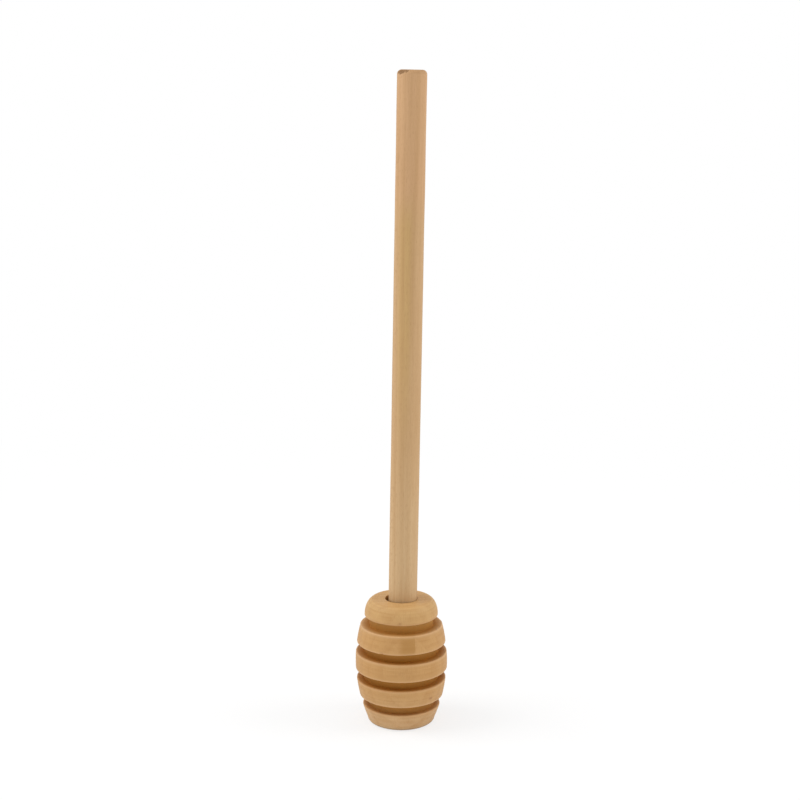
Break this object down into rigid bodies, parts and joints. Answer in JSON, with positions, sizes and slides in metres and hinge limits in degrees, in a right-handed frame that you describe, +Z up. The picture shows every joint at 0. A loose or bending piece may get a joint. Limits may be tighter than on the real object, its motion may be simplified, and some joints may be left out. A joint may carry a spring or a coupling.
{
  "type": "honey dipper",
  "caption": "Wooden honey dipper: a barrel-shaped head turned with deep ring grooves, glued onto a plain round dowel handle, for lifting and drizzling honey.",
  "frame": {"origin": "middle of the flat foot that the dipper stands on", "axes": "+Z up along the head's axis, from the foot towards the handle; the handle leans about one degree towards +X"},
  "size_m": [0.0258, 0.0258, 0.1806],
  "materials": {
    "head_wood": "bare turned wood, fine turning lines, satin",
    "handle_wood": "bare sanded dowel, straight grain, matte",
    "cured_glue": "cured wood glue, slightly glossy"
  },
  "bodies": {
    "root": {"dipper_head": "head_wood", "handle": "handle_wood", "glue_cup": "cured_glue"}
  },
  "joints": []
}
